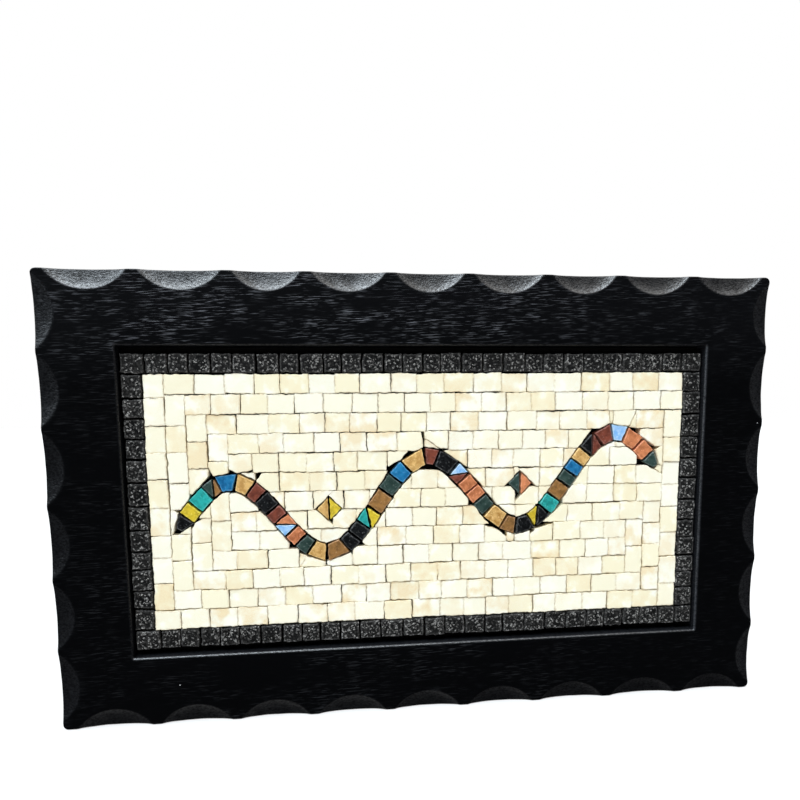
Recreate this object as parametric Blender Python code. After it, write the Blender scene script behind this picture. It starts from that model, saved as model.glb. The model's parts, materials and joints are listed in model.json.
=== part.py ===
"""Mosaic wall sign: a scalloped wooden board with a stone mosaic set in a routed recess.

Units are metres. X runs to the right, Z up, and the front faces -Y.
The origin is the middle of the board's flat back, where it meets the wall.
"""
import math
import random
from bisect import bisect_left

import bmesh
import bpy
from mathutils import Vector

# Board
BOARD_WIDTH = 0.350
BOARD_HEIGHT = 0.214
BOARD_THICKNESS = 0.020
CORNER_RADIUS = 0.0025
SIDE_RIM = 0.0331
TOP_RIM = 0.0336
RECESS_SHIFT = 0.0009
RECESS_CHAMFER = 0.0006

# Scallops gouged along the front arris; each tuple gives one side's widths relative to each other.
# The level sides run from left to right, the upright ones from the top down.
TOP_SCALLOPS = (40, 41, 35, 39, 37, 38, 36, 37, 38)
BOTTOM_SCALLOPS = (38, 37, 37, 37, 37, 37, 37, 39, 36)
LEFT_SCALLOPS = (36, 35, 36, 35, 34, 36)
RIGHT_SCALLOPS = (33, 36, 34, 35, 35, 33)

# Flats left between two scallops, and before the first and after the last
TOP_PEAK = 0.0045
BOTTOM_PEAK = 0.0040
LEFT_PEAK = 0.0016
RIGHT_PEAK = 0.0028
TOP_END_FLATS = (0.0052, 0.0042)
BOTTOM_END_FLATS = (0.0066, 0.0052)
LEFT_END_FLATS = (0.0012, 0.0040)
RIGHT_END_FLATS = (0.0030, 0.0032)

# The gouge's reach onto the face and its depth at the edge
LEVEL_REACH = 0.0090
LEFT_REACH = 0.0090
RIGHT_REACH = 0.0082
LEVEL_DEPTH = 0.0027
UPRIGHT_DEPTH = 0.0019
SCALLOP_CENTRE_OUT = 0.010
SCALLOP_CENTRE_AHEAD = 0.002

# Keyhole slot for a screw head, in the back of the top rim
KEYHOLE_ENTRY_DIAMETER = 0.010
KEYHOLE_NECK_WIDTH = 0.005
KEYHOLE_TRAVEL = 0.011
KEYHOLE_DEPTH = 0.009
KEYHOLE_LIP = 0.003
KEYHOLE_TOP_MARGIN = 0.0155

# Mosaic
TILE_THICKNESS = 0.0052
TILE_SETBACK = 0.0025
BED_THICKNESS = 0.0012
SEAT_GAP = 0.0003
SIDE_GROOVE = 0.0009
END_GROOVE = 0.0033
BORDER_STRIP = 0.0090
BORDER_STONE = 0.0102
COURSE = 0.0093
STONE_LENGTH = 0.0131
JOINT = 0.0005
JOINT_DEPTH = 0.0016
HEIGHT_SPREAD = 0.00018
EDGE_SPREAD = 0.00016
STONE_SIZE_SPREAD = 0.14

# Columns of upright stones that stand in each course, counted from the top course down
LEFT_COLUMNS = (1, 2, 3, 4, 4, 4, 4, 4, 4, 3, 2, 1, 0)
RIGHT_COLUMNS = (0, 0, 1, 1, 1, 1, 1, 2, 3, 4, 3, 2, 1)

# Coloured ribbon: a regular wave that climbs a little from left to right
RIBBON_PIECES = 42
RIBBON_SIZE_SPREAD = 0.28
RIBBON_WIDTH = 0.0086
RIBBON_PERIODS = 2.5
RIBBON_AMPLITUDE = 0.0205
RIBBON_RISE = 0.026
RIBBON_END_MARGIN = 0.0125
RIBBON_TIP_SHARE = 0.35
RIBBON_CLEARANCE = 0.0005
LOZENGE_HALF = 0.0062
LOZENGE_LIFT = 0.0215
SPLIT_PIECES = (3, 9, 16, 23, 30, 36)

# What counts as a stone worth setting where the ribbon cuts into the courses
SMALLEST_CUT_AREA = 5e-6
THINNEST_CUT = 0.0009
MOST_CUTS = 4
TOUCH_CLEARANCE = 0.0004

SCALLOP_SEGMENTS = 26
SCALLOP_RINGS = 12
ROUND_SEGMENTS = 20
CORNER_SEGMENTS = 4
CUTTER_MARGIN = 0.002
SAMPLES_PER_PIECE = 60
TANGENT_STEP = 1e-4
SEED = 7

FACE_Y = -BOARD_THICKNESS
TILE_TOP_Y = FACE_Y + TILE_SETBACK
TILE_BOTTOM_Y = TILE_TOP_Y + TILE_THICKNESS
BED_TOP_Y = TILE_BOTTOM_Y + SEAT_GAP
RECESS_FLOOR_Y = BED_TOP_Y + BED_THICKNESS + SEAT_GAP
RECESS_WIDTH = BOARD_WIDTH - 2 * SIDE_RIM
RECESS_HEIGHT = BOARD_HEIGHT - 2 * TOP_RIM
MOSAIC_WIDTH = RECESS_WIDTH - 2 * SIDE_GROOVE
MOSAIC_HEIGHT = RECESS_HEIGHT - 2 * END_GROOVE
FIELD_WIDTH = MOSAIC_WIDTH - 2 * (BORDER_STRIP + JOINT)
FIELD_HEIGHT = MOSAIC_HEIGHT - 2 * (BORDER_STRIP + JOINT)

COLOURS = {
    "stained_wood": ((0.006, 0.006, 0.007), 0.5),
    "adhesive": ((0.006, 0.006, 0.005), 0.9),
    "dark_stone": ((0.030, 0.030, 0.029), 0.8),
    "cream_marble": ((0.85, 0.79, 0.60), 0.5),
    "black_tile": ((0.006, 0.006, 0.007), 0.3),
    "green_tile": ((0.026, 0.052, 0.044), 0.3),
    "turquoise_tile": ((0.02, 0.35, 0.32), 0.3),
    "blue_tile": ((0.012, 0.17, 0.36), 0.3),
    "light_blue_tile": ((0.24, 0.46, 0.78), 0.3),
    "terracotta_tile": ((0.58, 0.20, 0.07), 0.4),
    "red_brown_tile": ((0.17, 0.038, 0.018), 0.4),
    "brown_tile": ((0.26, 0.125, 0.03), 0.4),
    "ochre_tile": ((0.70, 0.40, 0.13), 0.4),
    "yellow_tile": ((0.67, 0.50, 0.04), 0.4),
}
RIBBON_COLOURS = (
    "black_tile", "red_brown_tile", "ochre_tile", "green_tile", "terracotta_tile", "yellow_tile",
    "black_tile", "brown_tile", "blue_tile", "terracotta_tile", "turquoise_tile", "red_brown_tile",
    "black_tile", "ochre_tile", "green_tile", "brown_tile", "light_blue_tile",
)
COLOUR_STEP = 5


def remove_scene_objects():
    for old in list(bpy.data.objects):
        bpy.data.objects.remove(old, do_unlink=True)


def make_collection(name):
    collection = bpy.data.collections.new(name)
    bpy.context.scene.collection.children.link(collection)
    return collection


def make_material(name):
    colour, roughness = COLOURS[name]
    material = bpy.data.materials.new(name)
    material.use_nodes = True
    shader = material.node_tree.nodes["Principled BSDF"]
    shader.inputs["Base Color"].default_value = (*colour, 1.0)
    shader.inputs["Roughness"].default_value = roughness
    shader.inputs["Metallic"].default_value = 0.0
    return material


def add_object(bm, name, collection, material=None):
    bm.normal_update()
    bmesh.ops.recalc_face_normals(bm, faces=bm.faces)
    mesh = bpy.data.meshes.new(name)
    bm.to_mesh(mesh)
    bm.free()
    obj = bpy.data.objects.new(name, mesh)
    if material is not None:
        mesh.materials.append(material)
    collection.objects.link(obj)
    return obj


def add_cutter(bm, name, collection):
    cutter = add_object(bm, name, collection)
    cutter.hide_render = True
    cutter.display_type = "WIRE"
    return cutter


def add_boolean(obj, name, operation, operand):
    modifier = obj.modifiers.new(name, "BOOLEAN")
    modifier.operation = operation
    modifier.solver = "EXACT"
    if isinstance(operand, bpy.types.Collection):
        modifier.operand_type = "COLLECTION"
        modifier.collection = operand
    else:
        modifier.object = operand


def block(bm, x_range, y_range, z_range):
    """Add a box between two corners and return its vertices."""
    ranges = (x_range, y_range, z_range)
    verts = bmesh.ops.create_cube(bm, size=1.0)["verts"]
    for vert in verts:
        shares = [along + 0.5 for along in vert.co]
        vert.co = Vector([low + share * (high - low) for share, (low, high) in zip(shares, ranges)])
    return verts


def disc(bm, radius, x, z, y_range):
    """Add a cylinder whose axis runs along Y."""
    verts = bmesh.ops.create_cone(
        bm, cap_ends=True, segments=ROUND_SEGMENTS,
        radius1=radius, radius2=radius, depth=y_range[1] - y_range[0],
    )["verts"]
    middle = sum(y_range) / 2
    for vert in verts:
        vert.co = Vector((x + vert.co.x, middle + vert.co.z, z + vert.co.y))


def prism(bm, outline, y_front, y_back):
    """Extrude a flat outline of (x, z) points from the front to the back."""
    face = bm.faces.new([bm.verts.new((x, y_front, z)) for x, z in outline])
    grown = bmesh.ops.extrude_face_region(bm, geom=[face])["geom"]
    moved = [item for item in grown if isinstance(item, bmesh.types.BMVert)]
    bmesh.ops.translate(bm, verts=moved, vec=(0.0, y_back - y_front, 0.0))


def rectangle(x0, x1, z0, z1):
    return [(x0, z0), (x1, z0), (x1, z1), (x0, z1)]


def area(outline):
    return 0.5 * sum(a[0] * b[1] - b[0] * a[1] for a, b in zip(outline, outline[1:] + outline[:1]))


def clip(outline, start, end, clearance=0.0):
    """Keep what lies to the right of the line from start to end, by at least the clearance."""
    along = (Vector(end) - Vector(start)).normalized()
    right = Vector((along.y, -along.x))

    def outside(point):
        return (Vector(point) - Vector(start)).dot(right) - clearance

    kept = []
    for a, b in zip(outline, outline[1:] + outline[:1]):
        here, there = outside(a), outside(b)
        if here >= 0:
            kept.append(a)
        if here * there < 0:
            kept.append(tuple(Vector(a).lerp(Vector(b), here / (here - there))))
    return kept


def overlap(outline, obstacle, clearance):
    """Area that a convex outline shares with a convex obstacle grown by the clearance."""
    shared = outline
    for a, b in zip(obstacle, obstacle[1:] + obstacle[:1]):
        shared = clip(shared, b, a, -clearance)
        if len(shared) < 3:
            return 0.0
    return area(shared)


def usable(outline):
    """Whether a cut stone is big enough, and not a mere sliver, to be worth setting."""
    if len(outline) < 3:
        return False
    rim = sum((Vector(a) - Vector(b)).length for a, b in zip(outline, outline[1:] + outline[:1]))
    return area(outline) > SMALLEST_CUT_AREA and 2 * area(outline) / rim > THINNEST_CUT


def free_pieces(piece, obstacles, cuts_left):
    """Every usable piece that so many straight cuts can free from the obstacles."""
    if not usable(piece):
        return []
    met = next((o for o in obstacles if overlap(piece, o, TOUCH_CLEARANCE) > 0), None)
    if met is None:
        return [piece]
    if cuts_left == 0:
        return []
    freed = []
    for a, b in zip(met, met[1:] + met[:1]):
        freed += free_pieces(clip(piece, a, b, RIBBON_CLEARANCE), obstacles, cuts_left - 1)
    return freed


def cut_to_fit(stone, obstacles):
    """Nip a stone with straight cuts so that it clears the obstacles; return every usable piece."""
    near = [o for o in obstacles if overlap(stone, o, RIBBON_CLEARANCE) > 0]
    if not near:
        return [stone]
    pieces = []
    while True:
        options = free_pieces(stone, near, MOST_CUTS)
        if not options:
            return pieces
        pieces.append(max(options, key=area))
        near.append(pieces[-1])


def ribbon_point(share):
    run = FIELD_WIDTH - 2 * RIBBON_END_MARGIN
    from_middle = share - 0.5
    wave = RIBBON_AMPLITUDE * math.cos(2 * math.pi * RIBBON_PERIODS * from_middle)
    return Vector((RECESS_SHIFT + from_middle * run, wave + from_middle * RIBBON_RISE))


def ribbon_stations(rng):
    """Shares of the run that part the ribbon into its pieces."""
    samples = SAMPLES_PER_PIECE * RIBBON_PIECES
    points = [ribbon_point(i / samples) for i in range(samples + 1)]
    lengths = [0.0]
    for a, b in zip(points, points[1:]):
        lengths.append(lengths[-1] + (b - a).length)
    weights = [1 + rng.uniform(-RIBBON_SIZE_SPREAD, RIBBON_SIZE_SPREAD) for _ in range(RIBBON_PIECES)]
    stations = [0.0]
    reached = 0.0
    for weight in weights:
        reached += weight / sum(weights) * lengths[-1]
        stations.append(min(bisect_left(lengths, reached), samples) / samples)
    return stations


def ribbon_sides(stations, half_width):
    """Left and right edge points of the ribbon at each station, with tapered tips."""
    left, right = [], []
    for number, share in enumerate(stations):
        along = (ribbon_point(share + TANGENT_STEP) - ribbon_point(share - TANGENT_STEP)).normalized()
        normal = Vector((-along.y, along.x))
        tip = number in (0, len(stations) - 1)
        reach = half_width * (RIBBON_TIP_SHARE if tip else 1.0)
        left.append(ribbon_point(share) + normal * reach)
        right.append(ribbon_point(share) - normal * reach)
    return left, right


def ribbon_quads(left, right):
    return [[tuple(right[i]), tuple(right[i + 1]), tuple(left[i + 1]), tuple(left[i])]
            for i in range(len(left) - 1)]


def shrink_ends(quad, gap):
    """Open a joint at both ends of a ribbon piece."""
    right_start, right_end, left_end, left_start = [Vector(p) for p in quad]
    right_step = (right_end - right_start).normalized() * gap / 2
    left_step = (left_end - left_start).normalized() * gap / 2
    corners = [right_start + right_step, right_end - right_step]
    corners += [left_end - left_step, left_start + left_step]
    return [tuple(corner) for corner in corners]


def split(outline, start, end, gap):
    """Part an outline in two along a line, with a joint between the halves."""
    return [clip(outline, start, end, gap / 2), clip(outline, end, start, gap / 2)]


def lozenges():
    """The two lozenges that sit above the wave's troughs, by name."""
    shapes = {}
    for name, direction in (("left", -1), ("right", 1)):
        trough = ribbon_point(0.5 + direction * 0.5 / RIBBON_PERIODS)
        x, z, half = trough.x, trough.y + LOZENGE_LIFT, LOZENGE_HALF
        shapes[name] = [(x, z - half), (x + half, z), (x, z + half), (x - half, z)]
    return shapes


def spread(rng, start, end, size):
    """Part a stretch into stones of about one size and return their edges."""
    count = max(1, round((end - start) / size))
    weights = [1 + rng.uniform(-STONE_SIZE_SPREAD, STONE_SIZE_SPREAD) for _ in range(count)]
    edges = [start]
    for weight in weights:
        edges.append(edges[-1] + (end - start) * weight / sum(weights))
    return edges


def columns_beside(course, table):
    return table[min(course, len(table) - 1)]


def field_stones(rng):
    """Rectangles of all the cream stones: level courses between stepped columns of upright stones."""
    left, right = RECESS_SHIFT - FIELD_WIDTH / 2, RECESS_SHIFT + FIELD_WIDTH / 2
    top = FIELD_HEIGHT / 2
    courses = max(1, round(FIELD_HEIGHT / COURSE))
    pitch = FIELD_HEIGHT / courses
    stones = []
    for course in range(courses):
        start = left + columns_beside(course, LEFT_COLUMNS) * COURSE
        end = right - columns_beside(course, RIGHT_COLUMNS) * COURSE
        edges = spread(rng, start, end, STONE_LENGTH)
        z1 = top - course * pitch
        stones += [rectangle(a, b, z1 - pitch, z1) for a, b in zip(edges, edges[1:])]
    for table, outer, inward in ((LEFT_COLUMNS, left, 1), (RIGHT_COLUMNS, right, -1)):
        for column in range(max(table)):
            tall = [course for course in range(courses) if columns_beside(course, table) > column]
            if not tall:
                continue
            near, far = outer + inward * column * COURSE, outer + inward * (column + 1) * COURSE
            x0, x1 = sorted((near, far))
            edges = spread(rng, top - (tall[-1] + 1) * pitch, top - tall[0] * pitch, STONE_LENGTH)
            stones += [rectangle(x0, x1, a, b) for a, b in zip(edges, edges[1:])]
    return stones


def rough_cut(rng, outline):
    """Draw a stone in by half a joint and skew its corners slightly, as hand cutting leaves it."""
    x0, z0 = outline[0]
    corners = []
    for x, z in outline:
        into_x = 1 if x == x0 else -1
        into_z = 1 if z == z0 else -1
        corners.append((x + into_x * (JOINT / 2 + rng.uniform(0, EDGE_SPREAD)),
                        z + into_z * (JOINT / 2 + rng.uniform(0, EDGE_SPREAD))))
    return corners


def scallop_cutter(name, middle, chord, side, reach, depth, collection):
    """Ellipsoid that scoops the front arris over one chord of a side's length."""
    shrink = (SCALLOP_CENTRE_OUT / (reach + SCALLOP_CENTRE_OUT)) ** 2
    deep = (depth + SCALLOP_CENTRE_AHEAD) ** 2 - shrink * SCALLOP_CENTRE_AHEAD ** 2
    depth_axis = math.sqrt(deep / (1 - shrink))
    at_face = math.sqrt(1 - (SCALLOP_CENTRE_AHEAD / depth_axis) ** 2)
    reach_axis = (reach + SCALLOP_CENTRE_OUT) / at_face
    chord_axis = chord / 2 / (at_face * math.sqrt(1 - shrink))
    bm = bmesh.new()
    bmesh.ops.create_uvsphere(bm, u_segments=SCALLOP_SEGMENTS, v_segments=SCALLOP_RINGS, radius=1.0)
    outward = Vector({"top": (0, 1), "bottom": (0, -1), "left": (-1, 0), "right": (1, 0)}[side])
    along = Vector((abs(outward.y), abs(outward.x)))
    half = BOARD_HEIGHT / 2 if side in ("top", "bottom") else BOARD_WIDTH / 2
    for vert in bm.verts:
        place = along * (middle + vert.co.z * chord_axis)
        place += outward * (half + SCALLOP_CENTRE_OUT + vert.co.x * reach_axis)
        vert.co = Vector((place.x, FACE_Y - SCALLOP_CENTRE_AHEAD + vert.co.y * depth_axis, place.y))
    add_cutter(bm, name, collection)


def add_scallop_row(side, shares, peak, end_flats, reach, depth, collection):
    """Gouge one side: its scallops share what the flats at its two ends and between them leave."""
    length, direction = (BOARD_WIDTH, 1) if side in ("top", "bottom") else (BOARD_HEIGHT, -1)
    room = length - sum(end_flats) - peak * (len(shares) - 1)
    edge = end_flats[0] - length / 2
    for number, share in enumerate(shares, start=1):
        chord = room * share / sum(shares)
        middle = direction * (edge + chord / 2)
        scallop_cutter(f"scallop_{side}_{number}", middle, chord, side, reach, depth, collection)
        edge += chord + peak


def add_scallops(collection):
    rows = (
        ("top", TOP_SCALLOPS, TOP_PEAK, TOP_END_FLATS, LEVEL_REACH, LEVEL_DEPTH),
        ("bottom", BOTTOM_SCALLOPS, BOTTOM_PEAK, BOTTOM_END_FLATS, LEVEL_REACH, LEVEL_DEPTH),
        ("left", LEFT_SCALLOPS, LEFT_PEAK, LEFT_END_FLATS, LEFT_REACH, UPRIGHT_DEPTH),
        ("right", RIGHT_SCALLOPS, RIGHT_PEAK, RIGHT_END_FLATS, RIGHT_REACH, UPRIGHT_DEPTH),
    )
    for row in rows:
        add_scallop_row(*row, collection)


def recess_cutter(collection):
    """The recess with its eased front arris."""
    bm = bmesh.new()
    levels = (
        (0.0, RECESS_FLOOR_Y),
        (0.0, FACE_Y + RECESS_CHAMFER),
        (RECESS_CHAMFER, FACE_Y),
        (RECESS_CHAMFER + CUTTER_MARGIN, FACE_Y - CUTTER_MARGIN),
    )
    loops = []
    for grow, y in levels:
        half_w, half_h = RECESS_WIDTH / 2 + grow, RECESS_HEIGHT / 2 + grow
        outline = rectangle(RECESS_SHIFT - half_w, RECESS_SHIFT + half_w, -half_h, half_h)
        loops.append([bm.verts.new((x, y, z)) for x, z in outline])
    for low, high in zip(loops, loops[1:]):
        for i in range(4):
            bm.faces.new((low[i], low[(i + 1) % 4], high[(i + 1) % 4], high[i]))
    bm.faces.new(loops[0])
    bm.faces.new(loops[-1])
    return add_cutter(bm, "recess_cutter", collection)


def keyhole_cutters(collection):
    """Entry hole, narrow neck and wider undercut of the keyhole slot, each a cutter of its own."""
    top_z = BOARD_HEIGHT / 2 - KEYHOLE_TOP_MARGIN
    entry_z = top_z - KEYHOLE_TRAVEL
    through = (-KEYHOLE_DEPTH, CUTTER_MARGIN)
    under = (-KEYHOLE_DEPTH, -KEYHOLE_LIP)
    entry = bmesh.new()
    disc(entry, KEYHOLE_ENTRY_DIAMETER / 2, 0.0, entry_z, through)
    slot_top = bmesh.new()
    disc(slot_top, KEYHOLE_NECK_WIDTH / 2, 0.0, top_z, through)
    slot = bmesh.new()
    half = KEYHOLE_NECK_WIDTH / 2
    block(slot, (-half, half), through, (entry_z, top_z))
    under_top = bmesh.new()
    disc(under_top, KEYHOLE_ENTRY_DIAMETER / 2, 0.0, top_z, under)
    undercut = bmesh.new()
    wide = KEYHOLE_ENTRY_DIAMETER / 2
    block(undercut, (-wide, wide), under, (entry_z, top_z))
    meshes = {"keyhole_entry": entry, "keyhole_neck_end": slot_top, "keyhole_neck": slot,
              "keyhole_undercut_end": under_top, "keyhole_undercut": undercut}
    for name, bm in meshes.items():
        add_cutter(bm, name, collection)


def add_board(parts, cutters, scallops, keyhole):
    bm = bmesh.new()
    block(bm, (-BOARD_WIDTH / 2, BOARD_WIDTH / 2), (FACE_Y, 0.0), (-BOARD_HEIGHT / 2, BOARD_HEIGHT / 2))
    corners = [edge for edge in bm.edges if edge.verts[0].co.y != edge.verts[1].co.y]
    bmesh.ops.bevel(
        bm, geom=corners, offset=CORNER_RADIUS, segments=CORNER_SEGMENTS, profile=0.5, affect="EDGES",
    )
    board = add_object(bm, "board", parts, make_material("stained_wood"))
    add_scallops(scallops)
    keyhole_cutters(keyhole)
    add_boolean(board, "recess", "DIFFERENCE", recess_cutter(cutters))
    add_boolean(board, "scallops", "DIFFERENCE", scallops)
    add_boolean(board, "keyhole", "DIFFERENCE", keyhole)


def add_adhesive_bed(parts):
    bm = bmesh.new()
    half_w, half_h = RECESS_WIDTH / 2 - SEAT_GAP, RECESS_HEIGHT / 2 - SEAT_GAP
    across = (RECESS_SHIFT - half_w, RECESS_SHIFT + half_w)
    block(bm, across, (BED_TOP_Y, BED_TOP_Y + BED_THICKNESS), (-half_h, half_h))
    add_object(bm, "adhesive_bed", parts, make_material("adhesive"))


def add_border_course(name, start, end, low, high, level, rng, parts, material):
    """One course of border stones: an outline with joints, extruded over the course's width.

    A level course runs along X between start and end, an upright one along Z.
    """
    edges = spread(rng, start, end, BORDER_STONE)
    profile = [(end, TILE_BOTTOM_Y), (start, TILE_BOTTOM_Y)]
    for number, (a, b) in enumerate(zip(edges, edges[1:])):
        top = TILE_TOP_Y + rng.uniform(-HEIGHT_SPREAD, HEIGHT_SPREAD)
        before = a + (JOINT / 2 if number else 0.0)
        after = b - (JOINT / 2 if b < edges[-1] else 0.0)
        if number:
            profile.append((before, TILE_TOP_Y + JOINT_DEPTH))
        profile += [(before, top), (after, top)]
        if b < edges[-1]:
            profile.append((after, TILE_TOP_Y + JOINT_DEPTH))
    bm = bmesh.new()
    if level:
        face = bm.faces.new([bm.verts.new((x, y, low)) for x, y in profile])
        shift = (0.0, 0.0, high - low)
    else:
        face = bm.faces.new([bm.verts.new((low, y, z)) for z, y in profile])
        shift = (high - low, 0.0, 0.0)
    grown = bmesh.ops.extrude_face_region(bm, geom=[face])["geom"]
    moved = [item for item in grown if isinstance(item, bmesh.types.BMVert)]
    bmesh.ops.translate(bm, verts=moved, vec=shift)
    add_object(bm, name, parts, material)


def add_border(rng, parts):
    material = make_material("dark_stone")
    left, right = RECESS_SHIFT - MOSAIC_WIDTH / 2, RECESS_SHIFT + MOSAIC_WIDTH / 2
    top = MOSAIC_HEIGHT / 2
    inner = top - BORDER_STRIP
    add_border_course("border_top", left, right, inner, top, True, rng, parts, material)
    add_border_course("border_bottom", left, right, -top, -inner, True, rng, parts, material)
    low, high = -inner + JOINT, inner - JOINT
    add_border_course("border_left", low, high, left, left + BORDER_STRIP, False, rng, parts, material)
    add_border_course("border_right", low, high, right - BORDER_STRIP, right, False, rng, parts, material)


def add_ribbon(stations, rng, parts, materials):
    """The ribbon's pieces, each a node of its own; a few are split across by a slanted cut."""
    left, right = ribbon_sides(stations, RIBBON_WIDTH / 2)
    number = 0
    for index, quad in enumerate(ribbon_quads(left, right)):
        outline = shrink_ends(quad, JOINT)
        halves = split(outline, outline[0], outline[2], JOINT) if index in SPLIT_PIECES else [outline]
        for half in halves:
            colour = RIBBON_COLOURS[number * COLOUR_STEP % len(RIBBON_COLOURS)]
            number += 1
            bm = bmesh.new()
            prism(bm, half, TILE_TOP_Y + rng.uniform(-HEIGHT_SPREAD, HEIGHT_SPREAD), TILE_BOTTOM_Y)
            add_object(bm, f"ribbon_tessera_{number:02d}", parts, materials[colour])


def add_lozenges(parts, materials):
    colours = {"left": ("ochre_tile", "yellow_tile"), "right": ("green_tile", "terracotta_tile")}
    for name, outline in lozenges().items():
        halves = split(outline, outline[0], outline[2], JOINT)
        for half, where, colour in zip(halves, ("right_half", "left_half"), reversed(colours[name])):
            bm = bmesh.new()
            prism(bm, half, TILE_TOP_Y, TILE_BOTTOM_Y)
            add_object(bm, f"{name}_lozenge_{where}", parts, materials[colour])


def add_field(stations, rng, parts, cutters):
    """Cream stones on a common layer that has a channel for the ribbon and holes for the lozenges."""
    left, right = ribbon_sides(stations, RIBBON_WIDTH / 2)
    obstacles = ribbon_quads(left, right) + list(lozenges().values())
    layer_y = TILE_TOP_Y + JOINT_DEPTH
    stones = bmesh.new()
    for rect in field_stones(rng):
        top = TILE_TOP_Y + rng.uniform(-HEIGHT_SPREAD, HEIGHT_SPREAD)
        for piece in cut_to_fit(rough_cut(rng, rect), obstacles):
            prism(stones, piece, top, (layer_y + TILE_BOTTOM_Y) / 2)
    stones = add_cutter(stones, "field_stones", cutters)

    bm = bmesh.new()
    half_w, half_h = FIELD_WIDTH / 2, FIELD_HEIGHT / 2
    block(bm, (RECESS_SHIFT - half_w, RECESS_SHIFT + half_w), (layer_y, TILE_BOTTOM_Y), (-half_h, half_h))
    field = add_object(bm, "cream_field", parts, make_material("cream_marble"))

    left, right = ribbon_sides(stations, RIBBON_WIDTH / 2 + SEAT_GAP)
    start_step = (ribbon_point(0.0) - ribbon_point(TANGENT_STEP)).normalized() * SEAT_GAP
    end_step = (ribbon_point(1.0) - ribbon_point(1.0 - TANGENT_STEP)).normalized() * SEAT_GAP
    for side in (left, right):
        side[0] += start_step
        side[-1] += end_step
    channel = [tuple(point) for point in left + right[::-1]]
    openings = bmesh.new()
    prism(openings, channel, layer_y - CUTTER_MARGIN, TILE_BOTTOM_Y + CUTTER_MARGIN)
    for outline in lozenges().values():
        middle = sum((Vector(point) for point in outline), Vector((0.0, 0.0))) / len(outline)
        grow = 1 + math.sqrt(2) * SEAT_GAP / LOZENGE_HALF
        grown = [tuple(middle + (Vector(point) - middle) * grow) for point in outline]
        prism(openings, grown, layer_y - CUTTER_MARGIN, TILE_BOTTOM_Y + CUTTER_MARGIN)
    openings = add_cutter(openings, "ribbon_channel", cutters)
    add_boolean(field, "channel", "DIFFERENCE", openings)
    add_boolean(field, "stones", "UNION", stones)


def main():
    remove_scene_objects()
    parts = make_collection("mosaic_sign")
    cutters = make_collection("cutters")
    scallops = make_collection("scallop_cutters")
    keyhole = make_collection("keyhole_cutters")
    materials = {name: make_material(name) for name in sorted(set(RIBBON_COLOURS))}
    rng = random.Random(SEED)
    stations = ribbon_stations(rng)
    add_board(parts, cutters, scallops, keyhole)
    add_adhesive_bed(parts)
    add_border(rng, parts)
    add_ribbon(stations, rng, parts, materials)
    add_lozenges(parts, materials)
    add_field(stations, rng, parts, cutters)


main()
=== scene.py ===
# %% [markdown]
# # A mosaic wall sign
# The real thing is a single plank, stained nearly black, with scallops gouged along its front arris.
# A shallow recess in the plank holds hand-cut stones: one course of dark stone round a field of cream marble,
# and a ribbon of coloured pieces that winds across the field.
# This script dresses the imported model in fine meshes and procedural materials. Everything is in metres,
# X to the right, Z up, and the front of the sign faces -Y.

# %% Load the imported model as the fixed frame
import json
import math

import bmesh
import bpy
import numpy as np
from mathutils import Matrix, Vector, noise


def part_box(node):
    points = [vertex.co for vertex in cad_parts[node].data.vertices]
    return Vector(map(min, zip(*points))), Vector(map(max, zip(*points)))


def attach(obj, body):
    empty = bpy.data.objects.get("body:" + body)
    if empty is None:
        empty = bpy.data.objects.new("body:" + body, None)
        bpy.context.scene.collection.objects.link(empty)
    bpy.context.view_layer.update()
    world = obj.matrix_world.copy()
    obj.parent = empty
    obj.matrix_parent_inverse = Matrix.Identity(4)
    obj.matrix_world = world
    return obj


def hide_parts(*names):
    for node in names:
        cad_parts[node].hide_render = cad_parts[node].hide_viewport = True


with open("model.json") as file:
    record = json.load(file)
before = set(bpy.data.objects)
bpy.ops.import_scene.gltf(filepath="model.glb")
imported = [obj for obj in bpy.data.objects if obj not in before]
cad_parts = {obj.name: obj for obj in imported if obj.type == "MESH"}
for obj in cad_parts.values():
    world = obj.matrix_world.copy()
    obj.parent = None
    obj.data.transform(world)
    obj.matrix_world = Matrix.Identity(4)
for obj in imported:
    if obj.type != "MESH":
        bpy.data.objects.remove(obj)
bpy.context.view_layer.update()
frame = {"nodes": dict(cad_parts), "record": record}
nodes = frame["nodes"]
slot_of = {part["node"]: part["material_slot"] for part in frame["record"]["subparts"]}

# %% [markdown]
# ## Reading sizes from the frame
# The board's box gives the outer size, and the stones' boxes give the level of their tops and backs.
# Whatever is built here starts from those, so it stays where the solids are.

# %% Levels and sizes
board_low, board_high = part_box("board")
BOARD_WIDTH = board_high.x - board_low.x
BOARD_HEIGHT = board_high.z - board_low.z
FACE_Y = board_low.y
FLOOR_Z = board_low.z
bed_low, bed_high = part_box("adhesive_bed")
SEAT_GAP = 0.0003
STONE_BACK_Y = bed_low.y - SEAT_GAP
RECESS_SHIFT = (bed_low.x + bed_high.x) / 2
RECESS_HALF_WIDTH = (bed_high.x - bed_low.x) / 2 + SEAT_GAP
RECESS_HALF_HEIGHT = (bed_high.z - bed_low.z) / 2 + SEAT_GAP
RECESS_FLOOR_Y = bed_high.y + SEAT_GAP
print("board in mm:", round(1000 * BOARD_WIDTH, 1), round(1000 * BOARD_HEIGHT, 1), round(-1000 * FACE_Y, 1))

# %% [markdown]
# ## Camera
# The photograph was taken close to the sign with a wide lens, from a little above and to the left of its
# middle. The picture was then set low in a square frame. A camera's vertical shift moves the picture in its
# frame without turning the camera, so it repeats that and keeps the perspective.

# %% Camera at the photograph's viewing angle
IMAGE_SIZE = 800
FOCAL_LENGTH_IN_PIXELS = 620
OPTICAL_CENTRE_ROW = 480
CAMERA_FROM_FACE = Vector((-0.0452, -0.2965, 0.0434))
VIEW_DIRECTION = Vector((0.1097, 0.9875, -0.1131))
VIEW_UP = Vector((0.0228, 0.1112, 0.9935))


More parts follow.
